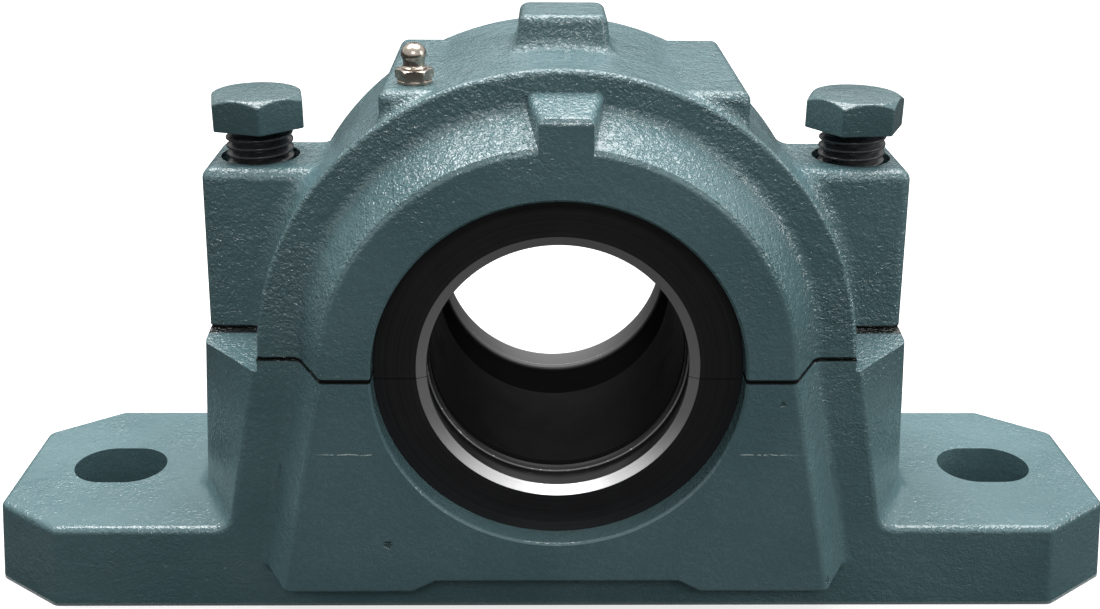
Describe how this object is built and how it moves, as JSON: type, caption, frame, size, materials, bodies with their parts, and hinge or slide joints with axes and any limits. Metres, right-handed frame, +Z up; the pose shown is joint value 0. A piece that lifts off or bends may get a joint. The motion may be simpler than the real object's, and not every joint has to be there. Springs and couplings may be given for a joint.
{
  "type": "split plummer block",
  "caption": "Split cast-iron plummer block with slotted foot, bolted cap, split seals, grease nipple and a self-aligning ball bearing on an adapter sleeve.",
  "frame": {"origin": "centre of the foot's bottom face, straight below the middle of the shaft axis", "axes": "+X along the foot, +Y along the shaft towards the back, +Z up from the foot to the cap"},
  "size_m": [0.285, 0.089, 0.1433],
  "materials": {
    "paint": "satin",
    "bolt_paint": "satin",
    "steel": "satin",
    "bearing_steel": "polished",
    "phosphate": "satin",
    "seal_rubber": "matte",
    "cage_polymer": "matte",
    "zinc": "satin"
  },
  "bodies": {
    "housing": {"base": "paint", "cap": "paint", "dowel_pin_left": "steel", "dowel_pin_right": "steel", "seal_front_lower": "seal_rubber", "seal_front_upper": "seal_rubber", "seal_back_lower": "seal_rubber", "seal_back_upper": "seal_rubber", "locating_ring_front": "steel", "locating_ring_back": "steel", "bearing_outer_ring": "bearing_steel", "nipple_body": "zinc", "nipple_spring": "steel"},
    "rotor": {"adapter_sleeve": "phosphate", "lock_washer": "phosphate", "lock_nut": "phosphate", "bearing_inner_ring": "bearing_steel"},
    "cage_set": {"ball_cage": "cage_polymer", "ball_row_front": "bearing_steel", "ball_row_back": "bearing_steel"},
    "bolt_left": {"cap_bolt_left": "bolt_paint"},
    "bolt_right": {"cap_bolt_right": "bolt_paint"},
    "nipple_check": {"nipple_ball": "bearing_steel"}
  },
  "joints": [
    {"name": "rotor_spin", "type": "hinge", "parent": "housing", "child": "rotor", "pos_m": [0, 0, 0.068], "axis": [0, 1, 0], "continuous": true},
    {"name": "cage_spin", "type": "hinge", "parent": "housing", "child": "cage_set", "pos_m": [0, 0, 0.068], "axis": [0, 1, 0], "continuous": true},
    {"name": "bolt_left_slide", "type": "slide", "parent": "housing", "child": "bolt_left", "axis": [0, 0, 1], "range_m": [-0.0072, 0.063]},
    {"name": "bolt_right_slide", "type": "slide", "parent": "housing", "child": "bolt_right", "axis": [0, 0, 1], "range_m": [-0.0072, 0.063]},
    {"name": "nipple_check_slide", "type": "slide", "parent": "housing", "child": "nipple_check", "axis": [0, 0, 1], "range_m": [-0.001, 0], "stiffness_N_per_m": 200, "deforming": ["nipple_spring"]}
  ],
  "couplings": [
    {"joint": "cage_spin", "follows": "rotor_spin", "ratio": 0.44468}
  ]
}
